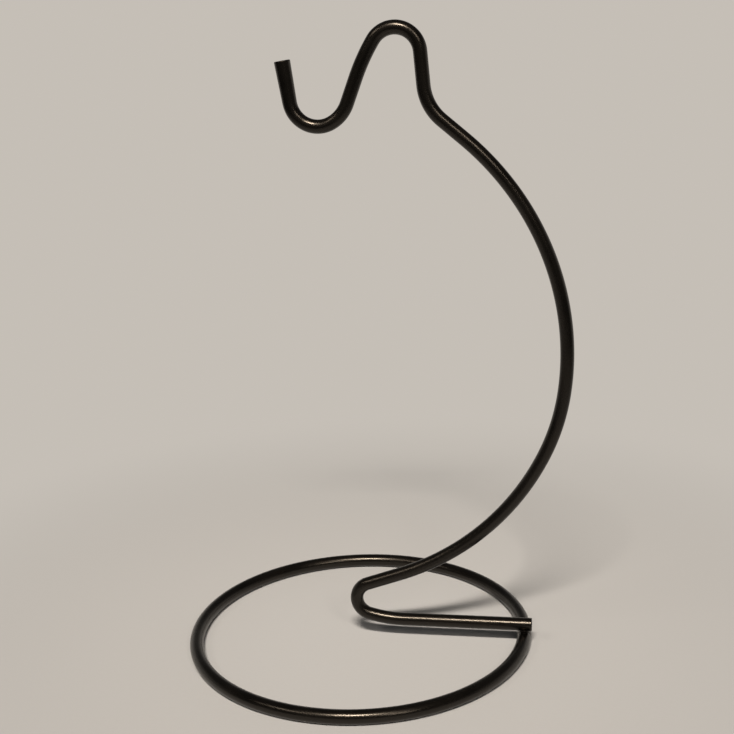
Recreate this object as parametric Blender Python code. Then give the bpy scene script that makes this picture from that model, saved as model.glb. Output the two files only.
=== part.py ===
"""Ornament stand: a bent-wire stem with a hanging hook, welded on top of a flat wire base ring.

Lengths are in metres and turns in degrees. +Z is up and the ring rests on z = 0. The stem lies
upright in the plane y = 0. Its foot runs along +X, from the middle of the ring to just past the
ring's outer edge, and the open side of the bow, where the ornament hangs, faces -X.
"""

import math

import bmesh
import bpy
from mathutils import Vector

# Base ring: one wire bent round, its two ends butt welded under the foot
ring_diameter = 0.127
ring_wire_diameter = 0.005
seam_weld_width = 0.0012

# Stem: one wire bent in a plane. A former radius is that of the pin the wire is bent round.
# The growths say how much thicker the wire is after the hook's last bend, and at its cut tip.
stem_wire_diameter = 0.00475
foot_overhang = 0.0003
heel_overhang = 0.0008
heel_lead_radius = 0.048
heel_lead_turn = 15.5
heel_former_radius = 0.004
heel_turn = 145.0
rise_length = 0.0126
low_bow_radius = 0.0926
low_bow_turn = 45.5
belly_radius = 0.0778
belly_turn = 17.0
high_bow_radius = 0.0971
high_bow_turn = 57.5
shoulder_length = 0.0097
neck_former_radius = 0.0144
neck_turn = 45.2
riser_length = 0.0108
crown_former_radius = 0.0061
crown_turn = 142.8
crown_lead_radius = 0.068
crown_lead_turn = 11.3
drop_length = 0.0088
hook_lead_former_radius = 0.0096
hook_lead_turn = 41.9
hook_former_radius = 0.00715
hook_turn = 62.0
hook_flare_turn = 46.6
hook_growth = 0.0002
tip_length = 0.0138
tip_growth = 0.00075

# Edge taken off the stem's two square-cut ends
cut_edge_chamfer = 0.0003

# Foot weld: a nugget of fused metal sunk into both wires, which also sink a little into each other
weld_set_down = 0.00015
nugget_diameter = 0.003
nugget_depth = 0.0005
nugget_squareness = 2.5

# Gap kept between pieces that touch
fit_gap = 0.0003

# Facets: how many sides a wire has, and how far a chord may stray from its true arc
wire_sides = 16
chord_sag = 0.00003
nugget_sides = 24
nugget_rim_steps = 10
sharp_edge_angle = 40.0

# Sizes that follow from the ones above
ring_wire_radius = ring_wire_diameter / 2
ring_middle_radius = (ring_diameter - ring_wire_diameter) / 2
stem_wire_radius = stem_wire_diameter / 2
heel_radius = heel_former_radius + stem_wire_radius
foot_height = ring_wire_diameter + stem_wire_radius - weld_set_down
faying_height = ring_wire_diameter - weld_set_down / 2
seam_end_offset = seam_weld_width / 2 + fit_gap

black_coating = {"Base Color": (0.010, 0.009, 0.008, 1.0), "Roughness": 0.34, "Metallic": 0.0}
weld_coating = {"Base Color": (0.012, 0.011, 0.010, 1.0), "Roughness": 0.42, "Metallic": 0.0}


def clear_scene():
    for old in list(bpy.data.objects):
        bpy.data.objects.remove(old, do_unlink=True)


def surface_material(name, settings):
    material = bpy.data.materials.new(name)
    material.use_nodes = True
    shader = material.node_tree.nodes["Principled BSDF"]
    for socket, value in settings.items():
        shader.inputs[socket].default_value = value
    material.diffuse_color = settings["Base Color"]
    return material


def place(name, shape, parent, location, material=None):
    """Turn a closed bmesh into an object whose faces point out and look smooth where round."""
    bmesh.ops.recalc_face_normals(shape, faces=shape.faces)
    mesh = bpy.data.meshes.new(name)
    shape.to_mesh(mesh)
    shape.free()
    mesh.shade_smooth()
    mesh.set_sharp_from_angle(angle=math.radians(sharp_edge_angle))
    if material:
        mesh.materials.append(material)
    item = bpy.data.objects.new(name, mesh)
    item.parent = parent
    item.location = location
    bpy.context.collection.objects.link(item)
    return item


def subtract(item, cutter):
    cut = item.modifiers.new(cutter.name, "BOOLEAN")
    cut.operation = "DIFFERENCE"
    cut.solver = "EXACT"
    cut.object = cutter


def hide_cutter(cutter):
    cutter.hide_render = True
    cutter.display_type = "WIRE"


def steps_for(radius, turn_radians):
    """Number of equal chords that keep an arc of this radius within the allowed sag."""
    widest = 2 * math.acos(1 - chord_sag / radius)
    return max(1, math.ceil(abs(turn_radians) / widest))


def wire_section(shape, middle, across, upright, radius):
    """One polygon of the wire, flat side out along both across and upright."""
    corner = radius / math.cos(math.pi / wire_sides)
    section = []
    for side in range(wire_sides):
        angle = 2 * math.pi * (side + 0.5) / wire_sides
        offset = across * math.cos(angle) + upright * math.sin(angle)
        section.append(shape.verts.new(middle + offset * corner))
    return section


def swept_wire(sections):
    """A closed solid through a row of (middle, across, upright, radius), capped at both ends."""
    shape = bmesh.new()
    rings = [wire_section(shape, *section) for section in sections]
    for near, far in zip(rings, rings[1:]):
        for side in range(wire_sides):
            following = (side + 1) % wire_sides
            shape.faces.new((near[side], near[following], far[following], far[side]))
    shape.faces.new(rings[0])
    shape.faces.new(rings[-1])
    return shape


class BentWire:
    """The middle line of a wire in the XZ plane, followed from its first end to its last.

    A heading of 0 degrees runs along +X, and 90 degrees runs up. A bend to the left is positive.
    """

    def __init__(self, heading, radius):
        self.at = Vector((0, 0, 0))
        self.heading = math.radians(heading)
        self.radius = radius
        self.sections = []

    def forward(self):
        return Vector((math.cos(self.heading), 0, math.sin(self.heading)))

    def left(self):
        return Vector((-math.sin(self.heading), 0, math.cos(self.heading)))

    def mark(self):
        self.sections.append((self.at.copy(), self.left(), Vector((0, 1, 0)), self.radius))

    def cut_end(self, radius, chamfer):
        """A square-cut end with its edge taken off: the wire starts or stops here."""
        starting = not self.sections
        self.radius = radius - chamfer if starting else radius
        self.mark()
        self.at = self.at + self.forward() * chamfer
        self.radius = radius if starting else radius - chamfer
        self.mark()

    def straight(self, length):
        self.at = self.at + self.forward() * length
        self.mark()

    def bend(self, radius, turn, growth=0):
        """An arc whose chords lie level and upright where the wire turns through those headings.

        The wire's diameter grows along it by the given length.
        """
        first_radius = self.radius
        turn = math.radians(turn)
        side = math.copysign(1, turn)
        centre = self.at + self.left() * side * radius
        quarter = math.pi / 2
        step = quarter / steps_for(radius, quarter)
        start, end = self.heading, self.heading + turn
        lowest, highest = min(start, end), max(start, end)
        first = math.ceil(lowest / step)
        last = math.floor(highest / step) + 1
        headings = [(count + 0.5) * step for count in range(first - 1, last)]
        margin = step / 4
        headings = [heading for heading in headings if lowest + margin < heading < highest - margin]
        if turn < 0:
            headings.reverse()
        for heading in headings + [end]:
            self.heading = heading
            self.at = centre - self.left() * side * radius
            self.radius = first_radius + growth / 2 * (heading - start) / turn
            self.mark()


def stem_line():
    """The stem from the foot's cut end, through heel, bow, neck, crown and hook, to the tip."""
    heel_lead_sine = math.sin(math.radians(heel_lead_turn))
    heel_reach = heel_lead_radius * heel_lead_sine + heel_radius * (1 - heel_lead_sine)
    foot_length = foot_overhang + ring_diameter / 2 + heel_overhang - heel_reach
    wire = BentWire(180, stem_wire_radius)
    wire.cut_end(stem_wire_radius, cut_edge_chamfer)
    wire.straight(foot_length - cut_edge_chamfer)
    wire.bend(heel_lead_radius, -heel_lead_turn)
    wire.bend(heel_radius, -heel_turn)
    wire.straight(rise_length)
    wire.bend(low_bow_radius, low_bow_turn)
    wire.bend(belly_radius, belly_turn)
    wire.bend(high_bow_radius, high_bow_turn)
    wire.straight(shoulder_length)
    wire.bend(neck_former_radius + stem_wire_radius, -neck_turn)
    wire.straight(riser_length)
    wire.bend(crown_former_radius + stem_wire_radius, crown_turn)
    wire.bend(crown_lead_radius, crown_lead_turn)
    wire.straight(drop_length)
    wire.bend(hook_lead_former_radius + stem_wire_radius, -hook_lead_turn)
    wire.bend(hook_former_radius + stem_wire_radius, -hook_turn)
    wire.bend(hook_former_radius + stem_wire_radius, -hook_flare_turn, hook_growth)
    wire.at = wire.at + wire.forward() * (tip_length - cut_edge_chamfer)
    wire.cut_end(stem_wire_radius + tip_growth / 2, cut_edge_chamfer)
    return wire


def stem_reach(wire):
    """How far the bow bulges past the foot's cut end along +X."""
    return max(middle.x for middle, across, upright, radius in wire.sections) + stem_wire_radius


def ring_sections(start, end):
    """Sections of the ring's wire from one angle about its centre to another, in radians."""
    count = steps_for(ring_middle_radius, end - start)
    sections = []
    for step in range(count + 1):
        angle = start + (end - start) * step / count
        outward = Vector((math.cos(angle), math.sin(angle), 0))
        sections.append((outward * ring_middle_radius, outward, Vector((0, 0, 1)), ring_wire_radius))
    return sections


def nugget_shape(growth):
    """A turned lens with a blunt rim, grown all round by the given gap."""
    reach = nugget_diameter / 2 + growth
    depth = nugget_depth + growth
    power = 2 / nugget_squareness
    shape = bmesh.new()
    profile = []
    for step in range(nugget_rim_steps + 1):
        angle = math.pi * (step / nugget_rim_steps - 0.5)
        height = math.copysign(abs(math.sin(angle)) ** power, angle) * depth
        width = max(math.cos(angle), 0.0) ** power * reach
        if step in (0, nugget_rim_steps):
            width = 0.0
        profile.append(shape.verts.new((width, 0, height)))
    edges = [shape.edges.new(pair) for pair in zip(profile, profile[1:])]
    bmesh.ops.spin(shape, geom=profile + edges, cent=(0, 0, 0), axis=(0, 0, 1),
                   angle=2 * math.pi, steps=nugget_sides, use_merge=True)
    bmesh.ops.remove_doubles(shape, verts=shape.verts, dist=chord_sag)
    return shape


def build_stand():
    clear_scene()
    wire = stem_line()

    # The origin is the middle of the footprint, and the bow reaches past the ring on one side
    ring_centre = bpy.data.objects.new("ring_centre", None)
    ring_centre.location = (-(foot_overhang + stem_reach(wire)) / 2, 0, 0)
    bpy.context.collection.objects.link(ring_centre)
    ring_place = (0, 0, ring_wire_radius)
    weld_place = (ring_middle_radius, 0, faying_height)
    foot_end_place = (ring_diameter / 2 + foot_overhang, 0, foot_height)

    half_seam = math.asin(seam_weld_width / 2 / ring_middle_radius)
    seam_end = math.asin(seam_end_offset / ring_middle_radius)
    base_ring = place("base_ring", swept_wire(ring_sections(seam_end, 2 * math.pi - seam_end)),
                      ring_centre, ring_place, surface_material("ring_coating", black_coating))
    seam_weld = place("ring_seam_weld", swept_wire(ring_sections(-half_seam, half_seam)),
                      ring_centre, ring_place, surface_material("seam_coating", black_coating))
    stem = place("stem_wire", swept_wire(wire.sections), ring_centre, foot_end_place,
                 surface_material("stem_coating", black_coating))
    place("foot_weld", nugget_shape(0), ring_centre, weld_place,
          surface_material("weld_coating", weld_coating))

    # The nugget's seat is let into both wires and into the seam below it
    seat = place("nugget_seat_cutter", nugget_shape(fit_gap), ring_centre, weld_place)
    hide_cutter(seat)
    for item in (base_ring, seam_weld, stem):
        subtract(item, seat)


build_stand()
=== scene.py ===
"""Looks of the ornament stand: smooth coated wires and welds around the packed solids, and a studio.

Lengths are in metres. The stem lies upright in the plane y = 0, its hook on the -X side, and the
base ring lies on z = 0. Each operator makes one piece, and the last one makes the studio.
"""

import math

import bmesh
import bpy
from mathutils import Matrix, Vector


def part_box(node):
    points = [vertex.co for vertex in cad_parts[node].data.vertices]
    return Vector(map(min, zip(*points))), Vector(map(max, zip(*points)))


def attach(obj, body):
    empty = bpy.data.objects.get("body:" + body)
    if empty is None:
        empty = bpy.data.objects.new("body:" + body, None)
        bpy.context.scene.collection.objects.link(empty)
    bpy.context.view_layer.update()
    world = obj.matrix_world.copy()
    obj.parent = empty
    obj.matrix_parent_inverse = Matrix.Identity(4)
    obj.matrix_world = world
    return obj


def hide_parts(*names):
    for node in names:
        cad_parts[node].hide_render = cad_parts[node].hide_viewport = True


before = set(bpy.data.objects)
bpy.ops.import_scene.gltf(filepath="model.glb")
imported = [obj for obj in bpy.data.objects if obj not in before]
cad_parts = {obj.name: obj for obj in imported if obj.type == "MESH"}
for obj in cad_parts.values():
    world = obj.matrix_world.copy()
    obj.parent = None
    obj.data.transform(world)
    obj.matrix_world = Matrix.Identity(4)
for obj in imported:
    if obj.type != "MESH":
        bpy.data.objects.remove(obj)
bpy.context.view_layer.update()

bl_info = {
    "name": "Ornament Stand Looks",
    "version": (1, 0, 0),
    "blender": (4, 5, 0),
    "location": "View3D > Sidebar > Ornament Stand",
    "description": "Dresses a wire ornament stand in smooth, coated wires and welds",
    "category": "Add Mesh",
}

BODY = "root"

ring_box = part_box("base_ring")
stem_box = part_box("stem_wire")
weld_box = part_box("foot_weld")


class RingSettings(bpy.types.PropertyGroup):
    """The base ring's wire and the seam where its two ends are joined"""

    diameter: bpy.props.FloatProperty(
        name="Ring diameter", description="Across the outside of the ring lying on the table",
        default=0.127, min=0.02, precision=5, unit="LENGTH")
    wire_diameter: bpy.props.FloatProperty(
        name="Ring wire", description="Thickness of the ring's wire",
        default=ring_box[1].z - ring_box[0].z, min=0.001, precision=5, unit="LENGTH")
    seam_gap: bpy.props.FloatProperty(
        name="Seam gap", description="Room between the ring wire's ends, which the seam weld fills",
        default=0.0018, min=0.0001, precision=5, unit="LENGTH")
    seam_width: bpy.props.FloatProperty(
        name="Seam weld width", description="Length of the seam weld along the wire, over both ends",
        default=0.0032, min=0.0001, precision=5, unit="LENGTH")
    seam_crown: bpy.props.FloatProperty(
        name="Seam weld crown", description="How far the seam weld stands proud of the wire",
        default=0.00012, min=0.0, precision=6, unit="LENGTH")


class StemSettings(bpy.types.PropertyGroup):
    """The stem's wire and its bends, in order from the foot's cut end to the hook's tip"""

    wire_diameter: bpy.props.FloatProperty(
        name="Stem wire", description="Thickness of the stem's wire",
        default=0.00475, min=0.001, precision=5, unit="LENGTH")
    foot_overhang: bpy.props.FloatProperty(
        name="Foot overhang", description="How far the foot's cut end stands past the ring's rim",
        default=0.0003, precision=5, unit="LENGTH")
    heel_overhang: bpy.props.FloatProperty(
        name="Heel overhang", description="How far the heel reaches past the middle of the ring",
        default=0.0008, precision=5, unit="LENGTH")
    heel_lead_radius: bpy.props.FloatProperty(
        name="Heel lead radius", description="Gentle bend between the foot and the heel",
        default=0.048, min=0.001, precision=5, unit="LENGTH")
    heel_lead_turn: bpy.props.FloatProperty(
        name="Heel lead turn", description="How far the gentle bend before the heel turns",
        default=math.radians(15.5), subtype="ANGLE")
    heel_radius: bpy.props.FloatProperty(
        name="Heel radius", description="Middle line of the tight heel bend",
        default=0.006375, min=0.001, precision=5, unit="LENGTH")
    heel_turn: bpy.props.FloatProperty(
        name="Heel turn", description="How far the heel turns",
        default=math.radians(145.0), subtype="ANGLE")
    rise_length: bpy.props.FloatProperty(
        name="Rise", description="Straight piece between the heel and the bow",
        default=0.0126, min=0.0, precision=5, unit="LENGTH")
    low_bow_radius: bpy.props.FloatProperty(
        name="Low bow radius", description="Lower part of the bow",
        default=0.0926, min=0.001, precision=5, unit="LENGTH")
    low_bow_turn: bpy.props.FloatProperty(
        name="Low bow turn", description="How far the lower part of the bow turns",
        default=math.radians(45.5), subtype="ANGLE")
    belly_radius: bpy.props.FloatProperty(
        name="Belly radius", description="Tighter middle part of the bow",
        default=0.0778, min=0.001, precision=5, unit="LENGTH")
    belly_turn: bpy.props.FloatProperty(
        name="Belly turn", description="How far the middle part of the bow turns",
        default=math.radians(17.0), subtype="ANGLE")
    high_bow_radius: bpy.props.FloatProperty(
        name="High bow radius", description="Upper part of the bow",
        default=0.0971, min=0.001, precision=5, unit="LENGTH")
    high_bow_turn: bpy.props.FloatProperty(
        name="High bow turn", description="How far the upper part of the bow turns",
        default=math.radians(57.5), subtype="ANGLE")
    shoulder_length: bpy.props.FloatProperty(
        name="Shoulder", description="Straight piece between the bow and the neck",
        default=0.0097, min=0.0, precision=5, unit="LENGTH")
    neck_radius: bpy.props.FloatProperty(
        name="Neck radius", description="Bend that turns the shoulder upright",
        default=0.016775, min=0.001, precision=5, unit="LENGTH")
    neck_turn: bpy.props.FloatProperty(
        name="Neck turn", description="How far the neck turns",
        default=math.radians(45.2), subtype="ANGLE")
    riser_length: bpy.props.FloatProperty(
        name="Riser", description="Straight piece between the neck and the crown",
        default=0.0108, min=0.0, precision=5, unit="LENGTH")
    crown_radius: bpy.props.FloatProperty(
        name="Crown radius", description="Bend at the top of the stand",
        default=0.008475, min=0.001, precision=5, unit="LENGTH")
    crown_turn: bpy.props.FloatProperty(
        name="Crown turn", description="How far the crown turns",
        default=math.radians(142.8), subtype="ANGLE")
    crown_lead_radius: bpy.props.FloatProperty(
        name="Crown lead radius", description="Gentle bend after the crown",
        default=0.068, min=0.001, precision=5, unit="LENGTH")
    crown_lead_turn: bpy.props.FloatProperty(
        name="Crown lead turn", description="How far the gentle bend after the crown turns",
        default=math.radians(11.3), subtype="ANGLE")
    drop_length: bpy.props.FloatProperty(
        name="Drop", description="Straight piece between the crown and the hook",
        default=0.0088, min=0.0, precision=5, unit="LENGTH")
    hook_lead_radius: bpy.props.FloatProperty(
        name="Hook lead radius", description="First, wider bend of the hook",
        default=0.011975, min=0.001, precision=5, unit="LENGTH")
    hook_lead_turn: bpy.props.FloatProperty(
        name="Hook lead turn", description="How far the first bend of the hook turns",
        default=math.radians(41.9), subtype="ANGLE")
    hook_radius: bpy.props.FloatProperty(
        name="Hook radius", description="Second bend of the hook, where the ornament hangs",
        default=0.009525, min=0.001, precision=5, unit="LENGTH")
    hook_turn: bpy.props.FloatProperty(
        name="Hook turn", description="How far the second bend of the hook turns before the flare",
        default=math.radians(62.0), subtype="ANGLE")
    flare_turn: bpy.props.FloatProperty(
        name="Flare turn", description="How far the second bend turns on, while the wire flares",
        default=math.radians(46.6), subtype="ANGLE")
    hook_growth: bpy.props.FloatProperty(
        name="Hook growth", description="How much thicker the wire is at the end of the hook's bends",
        default=0.0002, precision=5, unit="LENGTH")
    tip_length: bpy.props.FloatProperty(
        name="Tip length", description="Straight, flaring end of the hook",
        default=0.0138, min=0.001, precision=5, unit="LENGTH")
    tip_growth: bpy.props.FloatProperty(
        name="Tip growth", description="How much thicker the wire is at the hook's cut tip",
        default=0.00075, precision=5, unit="LENGTH")
    end_rounding: bpy.props.FloatProperty(
        name="End rounding", description="How round the coating makes the edge of a cut end",
        default=0.00038, min=0.00001, precision=6, unit="LENGTH")
    end_dish: bpy.props.FloatProperty(
        name="End dish", description="How far the middle of a sheared end face lies below its edge",
        default=0.00006, min=0.0, precision=6, unit="LENGTH")


class WeldSettings(bpy.types.PropertyGroup):
    """The metal squeezed out round the weld between the foot and the ring"""

    flash_reach: bpy.props.FloatProperty(
        name="Flash reach", description="How far the squeezed-out metal reaches from the weld's middle",
        default=0.00155, min=0.0005, precision=5, unit="LENGTH")
    flash_bulge: bpy.props.FloatProperty(
        name="Flash bulge", description="How far the rim of the squeezed-out metal swells",
        default=0.00018, min=0.0, precision=6, unit="LENGTH")
    wire_lap: bpy.props.FloatProperty(
        name="Lap into wires", description="How far the squeezed-out metal runs into both wires",
        default=0.00008, min=0.0, precision=6, unit="LENGTH")


class CoatingSettings(bpy.types.PropertyGroup):
    """The black baked coating on wires and welds"""

    deep_black: bpy.props.FloatVectorProperty(
        name="Deep black", description="Colour of the coating where it is thick",
        default=(0.0010, 0.0009, 0.0008), min=0.0, max=1.0, subtype="COLOR")
    thin_black: bpy.props.FloatVectorProperty(
        name="Thin black", description="Colour of the coating where it is thin or rubbed",
        default=(0.0038, 0.0033, 0.0028), min=0.0, max=1.0, subtype="COLOR")
    gloss: bpy.props.FloatProperty(
        name="Gloss", description="Strength of the mirror part of the coating's sheen",
        default=0.44, min=0.0, max=1.0, subtype="FACTOR")
    gloss_tint: bpy.props.FloatVectorProperty(
        name="Gloss tint", description="Colour that the coating gives to its sheen",
        default=(1.0, 0.90, 0.79), min=0.0, max=1.0, subtype="COLOR")
    smooth_roughness: bpy.props.FloatProperty(
        name="Smooth roughness", description="Roughness of the coating at its smoothest",
        default=0.22, min=0.0, max=1.0, subtype="FACTOR")
    coarse_roughness: bpy.props.FloatProperty(
        name="Coarse roughness", description="Roughness of the coating at its coarsest",
        default=0.29, min=0.0, max=1.0, subtype="FACTOR")
    cloud_size: bpy.props.FloatProperty(
        name="Cloud size", description="Size of the slow changes in tone along the wire",
        default=0.012, min=0.0001, precision=5, unit="LENGTH")
    ripple_size: bpy.props.FloatProperty(
        name="Ripple size", description="Size of the soft ripples that a baked coating sets in",
        default=0.0016, min=0.00005, precision=6, unit="LENGTH")
    ripple_depth: bpy.props.FloatProperty(
        name="Ripple depth", description="Depth of the soft ripples",
        default=0.0000025, min=0.0, precision=7, unit="LENGTH")
    grain_size: bpy.props.FloatProperty(
        name="Grain size", description="Size of the coating's fine grain",
        default=0.00016, min=0.00001, precision=7, unit="LENGTH")
    grain_depth: bpy.props.FloatProperty(
        name="Grain depth", description="Depth of the coating's fine grain",
        default=0.0000003, min=0.0, precision=8, unit="LENGTH")


class StudioSettings(bpy.types.PropertyGroup):
    """The pale floor, the backdrop, the lamps and the camera"""

    floor_colour: bpy.props.FloatVectorProperty(
        name="Floor", description="Colour of the floor",
        default=(0.535, 0.55, 0.575), min=0.0, max=1.0, subtype="COLOR")
    backdrop_colour: bpy.props.FloatVectorProperty(
        name="Backdrop", description="Colour of the far floor and of the backdrop",
        default=(0.56, 0.52, 0.47), min=0.0, max=1.0, subtype="COLOR")
    ceiling_colour: bpy.props.FloatVectorProperty(
        name="Ceiling", description="Colour of the dim ceiling above the lamps",
        default=(0.06, 0.058, 0.056), min=0.0, max=1.0, subtype="COLOR")
    lamp_colour: bpy.props.FloatVectorProperty(
        name="Lamp colour", description="Colour of the light of all three strip lamps",
        default=(1.0, 0.885, 0.75), min=0.0, max=1.0, subtype="COLOR")
    lamp_spread: bpy.props.FloatProperty(
        name="Lamp spread", description="Width of the cone that the grid on each lamp leaves free",
        default=math.radians(40.0), min=math.radians(1.0), max=math.radians(180.0), subtype="ANGLE")
    key_power: bpy.props.FloatProperty(
        name="Key lamp power", description="Power of the main, level strip lamp above the camera",
        default=1.52, min=0.0, unit="POWER")
    side_power: bpy.props.FloatProperty(
        name="Side lamp power", description="Power of the upright strip lamp on the bow's side",
        default=0.09, min=0.0, precision=3, unit="POWER")
    fill_power: bpy.props.FloatProperty(
        name="Fill lamp power", description="Power of the level strip lamp on the hook's side",
        default=0.085, min=0.0, precision=3, unit="POWER")
    film_width: bpy.props.FloatProperty(
        name="Film width", description="Width of the camera's film in millimetres",
        default=36.0, min=1.0, unit="CAMERA")
    lens: bpy.props.FloatProperty(
        name="Lens", description="Focal length of the camera in millimetres",
        default=59.31, min=1.0, unit="CAMERA")
    camera_place: bpy.props.FloatVectorProperty(
        name="Camera place", description="Where the camera stands",
        default=(0.06986, -0.40438, 0.21747), precision=5, subtype="TRANSLATION")
    camera_yaw: bpy.props.FloatProperty(
        name="Camera yaw", description="How far the camera looks to the left of +Y",
        default=math.radians(9.95), subtype="ANGLE")
    camera_pitch: bpy.props.FloatProperty(
        name="Camera pitch", description="How far the camera looks down",
        default=math.radians(15.394), subtype="ANGLE")
    camera_roll: bpy.props.FloatProperty(
        name="Camera roll", description="How far the camera leans about its own line of sight",
        default=math.radians(-2.1727), subtype="ANGLE")


# How finely the wires are divided, round them, along them and over a rounded edge
WIRE_SIDES = 48
LONGEST_STEP = 0.0009
LONGEST_RING_STEP = 2 * LONGEST_STEP
WIDEST_STEP = math.radians(3.0)
SEAM_STEPS = 24
ROUNDING_STEPS = 7

# Rows of points on a sheared end, as shares of the wire's radius and of the dish's depth
END_ROWS = ((0.82, 0.0), (0.55, 0.6), (0.25, 0.95))

# Which of a piece's materials its sides have, and its sheared ends
SIDE_MATERIAL = 0
END_MATERIAL = 1

# How deep the edges of the seam's collar lie in the wire, as a share of its crown
SEAM_SINK = 0.6

# The stem's course after its straight foot, with the side that each bend turns to
LEFT = 1
RIGHT = -1
STRAIGHT = 0
STEM_COURSE = (
    ("heel_lead", RIGHT),
    ("heel", RIGHT),
    ("rise", STRAIGHT),
    ("low_bow", LEFT),
    ("belly", LEFT),
    ("high_bow", LEFT),
    ("shoulder", STRAIGHT),
    ("neck", RIGHT),
    ("riser", STRAIGHT),
    ("crown", LEFT),
    ("crown_lead", LEFT),
    ("drop", STRAIGHT),
    ("hook_lead", RIGHT),
    ("hook", RIGHT),
)


class Station:
    """One cross-section of a wire that is bent in a plane.

    It has a middle, a direction across the wire in that plane, the plane's normal, and a radius.
    """

    def __init__(self, middle, across, normal, radius):
        self.middle = middle
        self.across = across
        self.normal = normal
        self.radius = radius

    def along(self):
        """The direction in which the wire runs on."""
        return self.normal.cross(self.across)

    def moved(self, distance, radius):
        """The same section farther along the wire, with another radius."""
        return Station(self.middle + self.along() * distance, self.across, self.normal, radius)


class StemCourse:
    """Follows the stem's middle line in the XZ plane. Heading 0 is +X, and a left turn is positive."""

    def __init__(self, start, heading, radius):
        self.at = start.copy()
        self.heading = heading
        self.radius = radius
        self.stations = []
        self.mark()

    def left(self):
        return Vector((-math.sin(self.heading), 0, math.cos(self.heading)))

    def forward(self):
        return Vector((math.cos(self.heading), 0, math.sin(self.heading)))

    def mark(self):
        """Keeps a cross-section of the wire at the place reached."""
        self.stations.append(Station(self.at.copy(), self.left(), Vector((0, 1, 0)), self.radius))

    def growth_to(self, end_radius):
        """How much the wire's radius grows up to an end radius. With None it keeps its own."""
        return 0.0 if end_radius is None else end_radius - self.radius

    def straight(self, length, end_radius=None):
        """Runs straight on, while the wire grows evenly to its end radius."""
        start = self.at.copy()
        first_radius = self.radius
        growth = self.growth_to(end_radius)
        count = max(1, math.ceil(length / LONGEST_STEP))
        for step in range(1, count + 1):
            share = step / count
            self.at = start + self.forward() * length * share
            self.radius = first_radius + growth * share
            self.mark()

    def bend(self, radius, turn, end_radius=None):
        """Turns on an arc, while the wire grows evenly to its end radius."""
        first_heading = self.heading
        first_radius = self.radius
        growth = self.growth_to(end_radius)
        centre = self.at + self.left() * math.copysign(radius, turn)
        count = max(1, math.ceil(abs(turn) / min(WIDEST_STEP, LONGEST_STEP / radius)))
        for step in range(1, count + 1):
            self.heading = first_heading + turn * step / count
            self.at = centre - self.left() * math.copysign(radius, turn)
            self.radius = first_radius + growth * step / count
            self.mark()


def rounded_end(station, rounding, outward):
    """Sections that round a cut end's edge off, from the given section to the end face."""
    sections = []
    for step in range(1, ROUNDING_STEPS + 1):
        angle = math.pi / 2 * step / ROUNDING_STEPS
        radius = station.radius - rounding * (1 - math.cos(angle))
        sections.append(station.moved(outward * rounding * math.sin(angle), radius))
    return sections


def row_round_wire(shape, station):
    """Points round a wire at one of its sections."""
    row = []
    for side in range(WIRE_SIDES):
        angle = 2 * math.pi * side / WIRE_SIDES
        offset = station.across * math.cos(angle) + station.normal * math.sin(angle)
        row.append(shape.verts.new(station.middle + offset * station.radius))
    return row


def bridge(shape, near, far, material_index=SIDE_MATERIAL):
    """Joins two closed rows of as many points with a band of faces."""
    for side in range(len(near)):
        following = (side + 1) % len(near)
        face = shape.faces.new((near[side], near[following], far[following], far[side]))
        face.material_index = material_index


def bridge_all(shape, rows):
    """Joins closed rows of points, each to the next."""
    for near, far in zip(rows, rows[1:]):
        bridge(shape, near, far)


def end_face(shape, rim, station, dish, outward):
    """A sheared face: a narrow flat border and a shallow dish, closed by a fan."""
    for share, depth_share in END_ROWS:
        inner = station.moved(-outward * dish * depth_share, station.radius * share)
        row = row_round_wire(shape, inner)
        bridge(shape, rim, row, END_MATERIAL)
        rim = row
    middle = shape.verts.new(station.moved(-outward * dish, 0).middle)
    for side in range(WIRE_SIDES):
        face = shape.faces.new((rim[side], rim[(side + 1) % WIRE_SIDES], middle))
        face.material_index = END_MATERIAL


def swept_wire(stations, rounding, dish):
    """A closed wire through all stations, with rounded edges and sheared faces at both ends.

    Stations that lie within the rounding of an end make room for it.
    """
    first = stations[0].moved(rounding, stations[0].radius)
    last = stations[-1].moved(-rounding, stations[-1].radius)
    inner = [station for station in stations[1:-1]
             if (station.middle - stations[0].middle).length > rounding
             and (station.middle - stations[-1].middle).length > rounding]
    start_cap = rounded_end(first, rounding, outward=-1)
    end_cap = rounded_end(last, rounding, outward=1)
    sections = start_cap[::-1] + [first] + inner + [last] + end_cap
    shape = bmesh.new()
    rows = [row_round_wire(shape, section) for section in sections]
    bridge_all(shape, rows)
    end_face(shape, rows[0], sections[0], dish, outward=-1)
    end_face(shape, rows[-1], sections[-1], dish, outward=1)
    return shape


def piece_from(name, shape, materials, node):
    """Turns a closed bmesh into a piece that rides on the stand and stands for one solid."""
    bmesh.ops.recalc_face_normals(shape, faces=shape.faces)
    mesh = bpy.data.meshes.new(name)
    shape.to_mesh(mesh)
    shape.free()
    mesh.shade_smooth()
    for material in materials:
        mesh.materials.append(material)
    piece = bpy.data.objects.new(name, mesh)
    bpy.context.scene.collection.objects.link(piece)
    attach(piece, BODY)
    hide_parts(node)


def ring_middle():
    """Middle of the circle that the ring's wire follows, from where the solid ring lies."""
    low, high = ring_box
    outer_radius = bpy.context.scene.stand_ring.diameter / 2
    return Vector((low.x + outer_radius, (low.y + high.y) / 2, (low.z + high.z) / 2))


def ring_reach():
    """Radius of the circle that the ring's wire follows."""
    ring = bpy.context.scene.stand_ring
    return (ring.diameter - ring.wire_diameter) / 2


def ring_station(angle, radius):
    """A cross-section of the ring's wire, at an angle from its seam at +X."""
    outward = Vector((math.cos(angle), math.sin(angle), 0))
    return Station(ring_middle() + outward * ring_reach(), outward, Vector((0, 0, 1)), radius)


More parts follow.
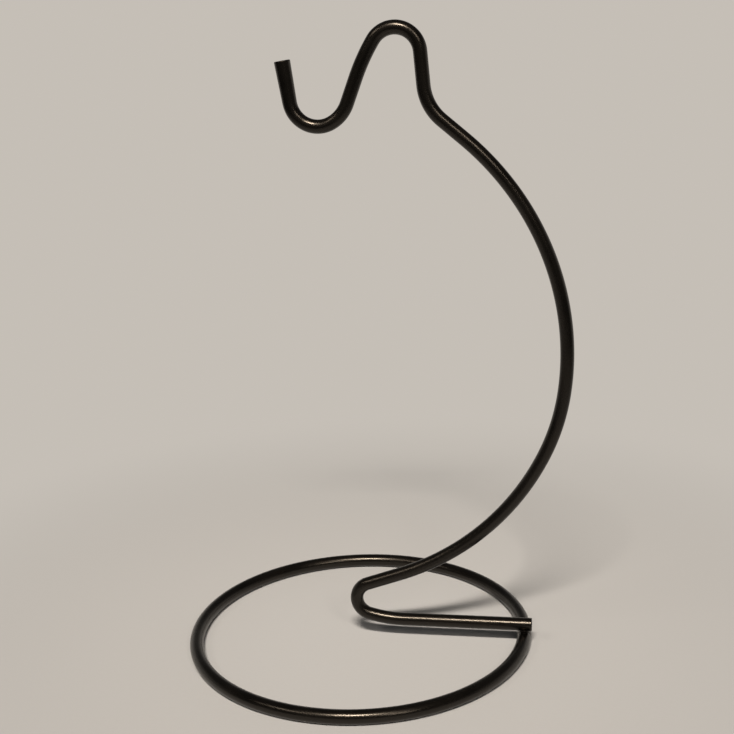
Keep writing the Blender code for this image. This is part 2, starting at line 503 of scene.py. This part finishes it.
# Layout of shader nodes: where the first one stands, how far apart they are, and how many to a row
FIRST_NODE = (-900, 300)
NODE_SPACING = (220, 260)
NODES_IN_ROW = 4


class Nodes:
    """Adds shader nodes to one material or world, laid out in rows."""

    def __init__(self, tree):
        self.tree = tree
        self.count = 0

    def add(self, kind, values=None, **settings):
        """A new node with values on its sockets and settings of its own."""
        node = self.tree.nodes.new(kind)
        row, column = divmod(self.count, NODES_IN_ROW)
        node.location.x = FIRST_NODE[0] + NODE_SPACING[0] * column
        node.location.y = FIRST_NODE[1] - NODE_SPACING[1] * row
        self.count += 1
        for key, value in settings.items():
            setattr(node, key, value)
        for key, value in (values or {}).items():
            node.inputs[key].default_value = value
        return node

    def link(self, source, target):
        self.tree.links.new(source, target)

    def noise(self, place, size, detail, roughness=0.5):
        """A cloudy pattern about 0.5, whose largest blots have the given size."""
        values = {"Scale": 1 / size, "Detail": detail, "Roughness": roughness}
        node = self.add("ShaderNodeTexNoise", values)
        self.link(place, node.inputs["Vector"])
        return node.outputs["Fac"]

    def spread(self, value, span, onto=(0.0, 1.0), interpolation="LINEAR"):
        """Maps a value's usual range onto another, held at both ends."""
        values = {"From Min": span[0], "From Max": span[1], "To Min": onto[0], "To Max": onto[1]}
        node = self.add("ShaderNodeMapRange", values, interpolation_type=interpolation)
        self.link(value, node.inputs["Value"])
        return node.outputs["Result"]

    def blend(self, share, first, second):
        """Goes from one colour to another as the share rises from 0 to 1."""
        node = self.add("ShaderNodeMix", data_type="RGBA")
        self.link(share, node.inputs["Factor"])
        node.inputs["A"].default_value = (*first, 1.0)
        node.inputs["B"].default_value = (*second, 1.0)
        return node.outputs["Result"]

    def maths(self, operation, *values):
        """Works a sum out from sockets and plain numbers."""
        node = self.add("ShaderNodeMath", operation=operation)
        for socket, value in zip(node.inputs, values):
            if isinstance(value, bpy.types.NodeSocket):
                self.link(value, socket)
            else:
                socket.default_value = value
        return node.outputs["Value"]

    def bump(self, height, depth, under=None):
        """Raises the surface by a height from 0 to 1 times the depth, over another bump if given."""
        node = self.add("ShaderNodeBump", {"Strength": 1.0, "Distance": depth})
        self.link(height, node.inputs["Height"])
        if under is not None:
            self.link(under, node.inputs["Normal"])
        return node.outputs["Normal"]


# Ranges that most of the clouds, of the grain and of the coating's tone lie in
CLOUD_SPAN = (0.3, 0.7)
GRAIN_SPAN = (0.25, 0.75)
TONE_SPAN = (0.1, 0.8)

# Share of the grain in the coating's tone, of which the clouds make up the rest
GRAIN_SHARE = 0.35

# How many times rougher and deeper in grain the coating is on a sheared end
END_ROUGHNESS = 1.6
END_GRAIN_DEPTH = 2.0


def new_material(name):
    """A material, its shader, and what adds nodes to it."""
    material = bpy.data.materials.new(name)
    material.use_nodes = True
    shader = material.node_tree.nodes["Principled BSDF"]
    return material, shader, Nodes(material.node_tree)


def coated_material(name):
    """A material with the coating's sheen, and the place on the piece for its textures."""
    look = bpy.context.scene.stand_coating
    material, shader, nodes = new_material(name)
    shader.inputs["Specular IOR Level"].default_value = look.gloss
    shader.inputs["Specular Tint"].default_value = (*look.gloss_tint, 1.0)
    place = nodes.add("ShaderNodeTexCoord").outputs["Object"]
    return material, shader, nodes, place


def coating(name, roughness_rise=0.0, ripple_share=1.0):
    """The black baked coating: slow clouds of tone, soft ripples, and a fine grain."""
    look = bpy.context.scene.stand_coating
    material, shader, nodes, place = coated_material(name)
    cloud = nodes.noise(place, look.cloud_size, detail=3.0)
    grain = nodes.noise(place, look.grain_size, detail=2.0, roughness=0.6)
    ripple = nodes.noise(place, look.ripple_size * ripple_share, detail=1.0, roughness=0.4)
    clouds = nodes.spread(cloud, CLOUD_SPAN, (0.0, 1.0 - GRAIN_SHARE))
    tone = nodes.maths("MULTIPLY_ADD", grain, GRAIN_SHARE, clouds)
    nodes.link(nodes.blend(tone, look.deep_black, look.thin_black), shader.inputs["Base Color"])
    low = look.smooth_roughness + roughness_rise
    high = look.coarse_roughness + roughness_rise
    nodes.link(nodes.spread(tone, TONE_SPAN, (low, high)), shader.inputs["Roughness"])
    ripples = nodes.bump(ripple, look.ripple_depth)
    nodes.link(nodes.bump(grain, look.grain_depth, ripples), shader.inputs["Normal"])
    return material


def sheared_face(name):
    """The coating over a sheared end: rougher, and over faint parallel shear lines."""
    look = bpy.context.scene.stand_coating
    material, shader, nodes, place = coated_material(name)
    grain = nodes.noise(place, look.grain_size, detail=3.0, roughness=0.65)
    values = {"Scale": 1 / look.ripple_size, "Distortion": 2.5, "Detail": 2.0}
    lines = nodes.add("ShaderNodeTexWave", values, bands_direction="Y")
    nodes.link(place, lines.inputs["Vector"])
    nodes.link(nodes.blend(grain, look.deep_black, look.thin_black), shader.inputs["Base Color"])
    rough = (look.coarse_roughness, look.coarse_roughness * END_ROUGHNESS)
    nodes.link(nodes.spread(grain, GRAIN_SPAN, rough), shader.inputs["Roughness"])
    marks = nodes.bump(lines.outputs["Fac"], look.ripple_depth)
    nodes.link(nodes.bump(grain, look.grain_depth * END_GRAIN_DEPTH, marks), shader.inputs["Normal"])
    return material


class STAND_OT_dress_ring(bpy.types.Operator):
    """Make the base ring's wire, bent round to a seam under the foot"""

    bl_idname = "stand.dress_ring"
    bl_label = "Base Ring"

    def execute(self, context):
        ring = context.scene.stand_ring
        first = ring.seam_gap / 2 / ring_reach()
        last = 2 * math.pi - first
        count = math.ceil((last - first) * ring_reach() / LONGEST_RING_STEP)
        stations = []
        for step in range(count + 1):
            angle = first + (last - first) * step / count
            stations.append(ring_station(angle, ring.wire_diameter / 2))
        shape = swept_wire(stations, rounding=ring.seam_crown * 2, dish=0.0)
        materials = [coating("ring_black_coating"), sheared_face("ring_end_coating")]
        piece_from("base_ring_wire", shape, materials, "base_ring")
        return {"FINISHED"}


class STAND_OT_dress_seam(bpy.types.Operator):
    """Make the weld that closes the ring, a low collar over both of the wire's ends"""

    bl_idname = "stand.dress_seam"
    bl_label = "Ring Seam Weld"

    def execute(self, context):
        ring = context.scene.stand_ring
        half = ring.seam_width / 2 / ring_reach()
        stations = []
        for step in range(SEAM_STEPS + 1):
            share = 2 * step / SEAM_STEPS - 1
            swell = ring.seam_crown * ((1 + SEAM_SINK) * (1 - share * share) - SEAM_SINK)
            stations.append(ring_station(half * share, ring.wire_diameter / 2 + swell))
        shape = swept_wire(stations, rounding=ring.seam_crown / 2, dish=0.0)

        # The collar is flat underneath, level with the ring's lowest line
        floor = ring_box[0].z
        for vert in shape.verts:
            vert.co.z = max(vert.co.z, floor)

        # Its end faces lie inside the wire and have its own coating
        metal = coating("seam_black_coating", roughness_rise=0.05, ripple_share=0.6)
        piece_from("ring_seam_collar", shape, [metal, metal], "ring_seam_weld")
        return {"FINISHED"}


class STAND_OT_dress_stem(bpy.types.Operator):
    """Make the stem: foot, heel, bow, neck, crown and hook bent into one wire"""

    bl_idname = "stand.dress_stem"
    bl_label = "Stem"

    def execute(self, context):
        stem = context.scene.stand_stem
        radius = stem.wire_diameter / 2
        lead_sine = math.sin(stem.heel_lead_turn)
        heel_reach = stem.heel_lead_radius * lead_sine + stem.heel_radius * (1 - lead_sine)
        foot_end = context.scene.stand_ring.diameter / 2 + stem.foot_overhang
        start = ring_middle() + Vector((foot_end, 0, 0))
        start.z = stem_box[0].z + radius
        course = StemCourse(start, math.pi, radius)
        course.straight(foot_end + stem.heel_overhang - heel_reach)
        for name, side in STEM_COURSE:
            if side == STRAIGHT:
                course.straight(getattr(stem, name + "_length"))
            else:
                course.bend(getattr(stem, name + "_radius"), side * getattr(stem, name + "_turn"))
        course.bend(stem.hook_radius, RIGHT * stem.flare_turn, radius + stem.hook_growth / 2)
        course.straight(stem.tip_length, radius + stem.tip_growth / 2)
        shape = swept_wire(course.stations, stem.end_rounding, stem.end_dish)
        materials = [coating("stem_black_coating"), sheared_face("stem_end_coating")]
        piece_from("stem_bent_wire", shape, materials, "stem_wire")
        return {"FINISHED"}


# Facets round the squeezed-out metal, and steps over its rim
FLASH_SIDES = 72
FLASH_STEPS = 10

# Waves round its edge: how many, how high as a share of its reach, and where they start
FLASH_WAVES = ((7, 0.04, 0.0), (12, 0.025, 1.0))

# Rows of points inside its rim, on top and underneath, as shares of its reach
FLASH_ROWS = (0.7, 0.4, 0.15)


def wavy(reach, angle):
    """A reach as it is at one angle, with the waves round the edge."""
    share = 1
    for count, height, start in FLASH_WAVES:
        share += height * math.sin(count * angle + start)
    return reach * share


def row_round_weld(shape, spots):
    """Points round the weld's middle, from an angle, a reach and a height each."""
    middle = (weld_box[0] + weld_box[1]) / 2
    row = []
    for angle, reach, height in spots:
        x = middle.x + reach * math.cos(angle)
        y = middle.y + reach * math.sin(angle)
        row.append(shape.verts.new((x, y, height)))
    return row


class STAND_OT_dress_weld(bpy.types.Operator):
    """Make the thin saddle of metal squeezed out where the foot is welded onto the ring"""

    bl_idname = "stand.dress_weld"
    bl_label = "Foot Weld"

    def execute(self, context):
        weld = context.scene.stand_weld
        ring_radius = context.scene.stand_ring.wire_diameter / 2
        ring_height = ring_middle().z
        stem_radius = context.scene.stand_stem.wire_diameter / 2
        stem_height = stem_box[0].z + stem_radius

        def top_at(reach, angle):
            """Height just inside the foot's wire, which runs along X."""
            away = reach * math.sin(angle)
            return stem_height - math.sqrt(stem_radius ** 2 - away ** 2) + weld.wire_lap

        def bottom_at(reach, angle):
            """Height just inside the ring's wire, which runs along Y."""
            away = reach * math.cos(angle)
            return ring_height + math.sqrt(ring_radius ** 2 - away ** 2) - weld.wire_lap

        shape = bmesh.new()
        angles = [2 * math.pi * side / FLASH_SIDES for side in range(FLASH_SIDES)]
        edges = [(angle, wavy(weld.flash_reach, angle)) for angle in angles]
        rim = []
        for step in range(FLASH_STEPS + 1):
            share = step / FLASH_STEPS
            bulge = weld.flash_bulge * math.sin(math.pi * share)
            spots = []
            for angle, edge in edges:
                low = bottom_at(edge, angle)
                high = top_at(edge, angle)
                spots.append((angle, edge + bulge, low + (high - low) * share))
            rim.append(row_round_weld(shape, spots))
        bridge_all(shape, rim)

        for outer, height_at in ((rim[0], bottom_at), (rim[-1], top_at)):
            rows = [outer]
            for share in FLASH_ROWS:
                reach = weld.flash_reach * share
                spots = [(angle, reach, height_at(reach, angle)) for angle in angles]
                rows.append(row_round_weld(shape, spots))
            bridge_all(shape, rows)
            shape.faces.new(rows[-1])

        metal = coating("weld_black_coating", roughness_rise=0.06, ripple_share=0.5)
        piece_from("foot_weld_flash", shape, [metal], "foot_weld")
        return {"FINISHED"}


# Place near the stand's middle that the lamps face
LAMP_TARGET = Vector((0.0, 0.0, 0.1))

# The floor's size, its paper-like grain and its dull finish
FLOOR_RADIUS = 6.0
FLOOR_SIDES = 96
FLOOR_GRAIN_SIZE = 0.0012
FLOOR_GRAIN_DEPTH = 0.00004
FLOOR_GRAIN_TONE = 0.97
FLOOR_ROUGHNESS = 0.85
FLOOR_GLOSS = 0.15

# Distances from the stand over which the floor runs into the backdrop's colour
FLOOR_FADE = (0.07, 0.27)

# Upward part of a direction over which the backdrop runs into the ceiling
CEILING_FADE = (0.12, 0.50)

# Places along Y over which the far floor comes up in reflections, from the camera's side to behind
FLOOR_MIRRORED = (-0.05, 0.25)

# The same for the backdrop, as the Y part of a direction, and its strength on the camera's side
BACKDROP_MIRRORED = (-0.25, 0.45)
BACKDROP_DIMMEST = 0.20

# Distance at which the camera starts to see
NEAREST_SEEN = 0.01


def floor_material(studio):
    """A matt floor that runs into the backdrop's colour far from the stand.

    The camera sees that colour all round. In reflections it fades towards the camera's side.
    """
    material, shader, nodes = new_material("pale_floor")
    place = nodes.add("ShaderNodeTexCoord").outputs["Object"]
    paper = nodes.noise(place, FLOOR_GRAIN_SIZE, detail=3.0)
    darker = [FLOOR_GRAIN_TONE * channel for channel in studio.floor_colour]
    nodes.link(nodes.blend(paper, darker, studio.floor_colour), shader.inputs["Base Color"])
    nodes.link(nodes.bump(paper, FLOOR_GRAIN_DEPTH), shader.inputs["Normal"])
    shader.inputs["Roughness"].default_value = FLOOR_ROUGHNESS
    shader.inputs["Specular IOR Level"].default_value = FLOOR_GLOSS

    distance = nodes.add("ShaderNodeVectorMath", operation="LENGTH")
    nodes.link(place, distance.inputs[0])
    far = nodes.spread(distance.outputs["Value"], FLOOR_FADE, interpolation="SMOOTHSTEP")
    split = nodes.add("ShaderNodeSeparateXYZ")
    nodes.link(place, split.inputs["Vector"])
    behind = nodes.spread(split.outputs["Y"], FLOOR_MIRRORED)
    rays = nodes.add("ShaderNodeLightPath").outputs
    mirrored = nodes.maths("MAXIMUM", rays["Is Glossy Ray"], rays["Is Transmission Ray"])
    seen = nodes.maths("MAXIMUM", rays["Is Camera Ray"], nodes.maths("MULTIPLY", mirrored, behind))

    glow = nodes.add("ShaderNodeEmission", {"Color": (*studio.backdrop_colour, 1.0), "Strength": 1.0})
    mix = nodes.add("ShaderNodeMixShader")
    nodes.link(nodes.maths("MULTIPLY", far, seen), mix.inputs["Fac"])
    nodes.link(shader.outputs["BSDF"], mix.inputs[1])
    nodes.link(glow.outputs["Emission"], mix.inputs[2])
    nodes.link(mix.outputs["Shader"], material.node_tree.nodes["Material Output"].inputs["Surface"])
    return material


def lay_floor(studio):
    """A round floor, whose far edge is lost in the backdrop's colour."""
    shape = bmesh.new()
    bmesh.ops.create_circle(shape, cap_ends=True, segments=FLOOR_SIDES, radius=FLOOR_RADIUS)
    mesh = bpy.data.meshes.new("studio_floor")
    shape.to_mesh(mesh)
    shape.free()
    mesh.materials.append(floor_material(studio))
    floor = bpy.data.objects.new("studio_floor", mesh)
    bpy.context.scene.collection.objects.link(floor)


def hang_backdrop(studio):
    """A world that is pale all round near the horizon, and dim overhead.

    The camera sees it at full strength. As light and in reflections it fades towards the camera's side.
    """
    world = bpy.data.worlds.new("studio")
    world.use_nodes = True
    nodes = Nodes(world.node_tree)
    background = world.node_tree.nodes["Background"]
    split = nodes.add("ShaderNodeSeparateXYZ")
    nodes.link(nodes.add("ShaderNodeTexCoord").outputs["Generated"], split.inputs["Vector"])
    up = nodes.spread(split.outputs["Z"], CEILING_FADE, interpolation="SMOOTHSTEP")
    colour = nodes.blend(up, studio.backdrop_colour, studio.ceiling_colour)
    nodes.link(colour, background.inputs["Color"])
    behind = nodes.spread(split.outputs["Y"], BACKDROP_MIRRORED, (BACKDROP_DIMMEST, 1.0))
    camera = nodes.add("ShaderNodeLightPath").outputs["Is Camera Ray"]
    nodes.link(nodes.maths("MAXIMUM", behind, camera), background.inputs["Strength"])
    bpy.context.scene.world = world


def place_from_bearing(distance, bearing, elevation):
    """A place as seen from the lamps' target: bearing 0 is -Y and 90 is +X, in degrees."""
    turn = math.radians(bearing)
    rise = math.radians(elevation)
    level = math.cos(rise)
    away = Vector((math.sin(turn) * level, -math.cos(turn) * level, math.sin(rise)))
    return LAMP_TARGET + away * distance


def strip_lamp(studio, name, power, width, height, place):
    """A soft lamp that faces the lamps' target, with its width level."""
    lamp = bpy.data.lights.new(name, "AREA")
    lamp.shape = "RECTANGLE"
    lamp.size = width
    lamp.size_y = height
    lamp.energy = power
    lamp.color = studio.lamp_colour
    lamp.spread = studio.lamp_spread
    item = bpy.data.objects.new(name, lamp)
    item.location = place
    item.rotation_euler = (LAMP_TARGET - place).to_track_quat("-Z", "Y").to_euler()
    bpy.context.scene.collection.objects.link(item)


def set_camera(studio):
    """The camera at the photograph's viewing angle."""
    camera = bpy.data.objects.new("photo_camera", bpy.data.cameras.new("photo_camera"))
    bpy.context.scene.collection.objects.link(camera)
    camera.data.sensor_width = studio.film_width
    camera.data.lens = studio.lens
    camera.data.clip_start = NEAREST_SEEN
    turn = (Matrix.Rotation(studio.camera_yaw, 4, "Z")
            @ Matrix.Rotation(math.pi / 2 - studio.camera_pitch, 4, "X")
            @ Matrix.Rotation(studio.camera_roll, 4, "Z"))
    camera.matrix_world = Matrix.Translation(studio.camera_place) @ turn
    bpy.context.scene.camera = camera


class STAND_OT_set_studio(bpy.types.Operator):
    """Lay the pale floor and set the backdrop, the lamps and the camera"""

    bl_idname = "stand.set_studio"
    bl_label = "Studio"

    def execute(self, context):
        studio = context.scene.stand_studio
        lay_floor(studio)
        hang_backdrop(studio)
        strip_lamp(studio, "key_strip", studio.key_power, width=0.48, height=0.13,
                   place=place_from_bearing(distance=1.5, bearing=2.0, elevation=52.0))
        strip_lamp(studio, "side_strip", studio.side_power, width=0.16, height=0.28,
                   place=place_from_bearing(distance=1.2, bearing=32.5, elevation=32.0))
        strip_lamp(studio, "fill_strip", studio.fill_power, width=0.50, height=0.12,
                   place=place_from_bearing(distance=1.2, bearing=-48.0, elevation=40.0))
        set_camera(studio)
        context.scene.view_settings.view_transform = "Standard"
        return {"FINISHED"}


SETTINGS = (
    ("stand_ring", RingSettings),
    ("stand_stem", StemSettings),
    ("stand_weld", WeldSettings),
    ("stand_coating", CoatingSettings),
    ("stand_studio", StudioSettings),
)
OPERATORS = (
    STAND_OT_dress_ring,
    STAND_OT_dress_seam,
    STAND_OT_dress_stem,
    STAND_OT_dress_weld,
    STAND_OT_set_studio,
)


class STAND_PT_looks(bpy.types.Panel):
    """Lists the stand's pieces and their settings"""

    bl_idname = "STAND_PT_looks"
    bl_label = "Ornament Stand"
    bl_space_type = "VIEW_3D"
    bl_region_type = "UI"
    bl_category = "Ornament Stand"

    def draw(self, context):
        for operator in OPERATORS:
            self.layout.operator(operator.bl_idname)
        for attribute, group in SETTINGS:
            box = self.layout.box()
            box.label(text=group.__doc__)
            settings = getattr(context.scene, attribute)
            for name in group.__annotations__:
                box.prop(settings, name)


def register():
    for attribute, group in SETTINGS:
        bpy.utils.register_class(group)
        setattr(bpy.types.Scene, attribute, bpy.props.PointerProperty(type=group))
    for operator in OPERATORS:
        bpy.utils.register_class(operator)
    bpy.utils.register_class(STAND_PT_looks)


def unregister():
    bpy.utils.unregister_class(STAND_PT_looks)
    for operator in reversed(OPERATORS):
        bpy.utils.unregister_class(operator)
    for attribute, group in reversed(SETTINGS):
        delattr(bpy.types.Scene, attribute)
        bpy.utils.unregister_class(group)


def main():
    register()
    bpy.ops.stand.dress_ring()
    bpy.ops.stand.dress_seam()
    bpy.ops.stand.dress_stem()
    bpy.ops.stand.dress_weld()
    bpy.ops.stand.set_studio()


if __name__ == "__main__":
    main()
